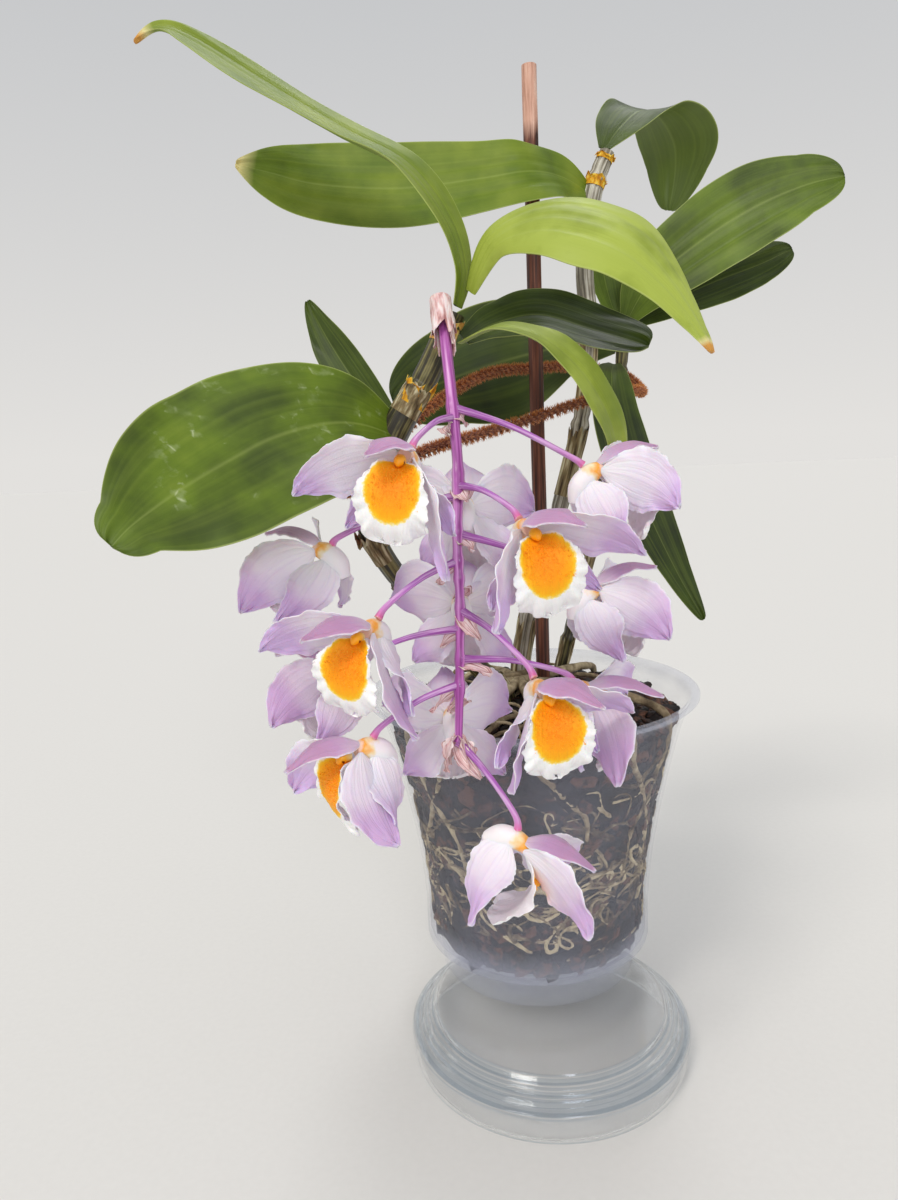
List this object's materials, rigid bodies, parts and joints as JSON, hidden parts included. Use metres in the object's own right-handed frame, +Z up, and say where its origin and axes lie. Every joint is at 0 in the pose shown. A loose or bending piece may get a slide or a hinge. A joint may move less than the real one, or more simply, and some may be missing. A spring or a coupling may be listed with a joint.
{
  "type": "dendrobium orchid in a pot",
  "caption": "Dendrobium orchid in bloom: a hanging spray of pale lilac flowers with orange lips, leafy canes, a stake and tie, in a clear pot on an upturned clear saucer.",
  "frame": {"origin": "centre of the whole plant's box, on the surface that the saucer stands on", "axes": "+Z up, the bloom faces -Y, +X to the right as the bloom is seen"},
  "size_m": [0.2366, 0.1792, 0.3497],
  "materials": {
    "clear_saucer": "clear, thin, vacuum-formed, glossy",
    "clear_pot": "milky clear, injection-moulded, semi-gloss",
    "bark": "rough, dark, damp bark chips",
    "root": "dry, matt, papery",
    "stake_wood": "stained, matt, bare at the top",
    "cane_green": "waxy, ribbed, with papery rings",
    "cane_dry": "fibrous dry sheath, matt",
    "chenille": "fuzzy pile",
    "leaf": "waxy, semi-gloss, fine parallel veins",
    "flower_stalk": "smooth, waxy",
    "tepal": "satin, slightly sparkling petal skin",
    "lip": "velvety, white edge round an orange disc"
  },
  "bodies": {
    "root": {"saucer": "clear_saucer", "pot": "clear_pot", "medium": "bark", "roots": "root", "stake": "stake_wood", "cane_flowering": "cane_green", "cane_old": "cane_dry", "cane_young": "cane_green", "tie": "chenille", "leaf_01": "leaf", "leaf_02": "leaf", "leaf_03": "leaf", "leaf_04": "leaf", "leaf_05": "leaf", "leaf_06": "leaf", "leaf_07": "leaf", "leaf_08": "leaf", "leaf_09": "leaf", "leaf_10": "leaf", "leaf_11": "leaf", "leaf_12": "leaf", "leaf_13": "leaf", "rachis": "flower_stalk", "flower_01": "tepal", "flower_02": "tepal", "flower_03": "tepal", "flower_04": "tepal", "flower_05": "tepal", "flower_06": "tepal", "flower_07": "tepal", "flower_08": "tepal", "flower_09": "tepal", "flower_10": "tepal", "flower_11": "tepal", "flower_12": "tepal", "flower_13": "tepal", "flower_14": "tepal", "lip_01": "lip", "lip_02": "lip", "lip_03": "lip", "lip_04": "lip", "lip_05": "lip", "lip_06": "lip", "lip_07": "lip", "lip_08": "lip", "lip_09": "lip", "lip_10": "lip", "lip_11": "lip", "lip_12": "lip", "lip_13": "lip", "lip_14": "lip"}
  },
  "joints": []
}
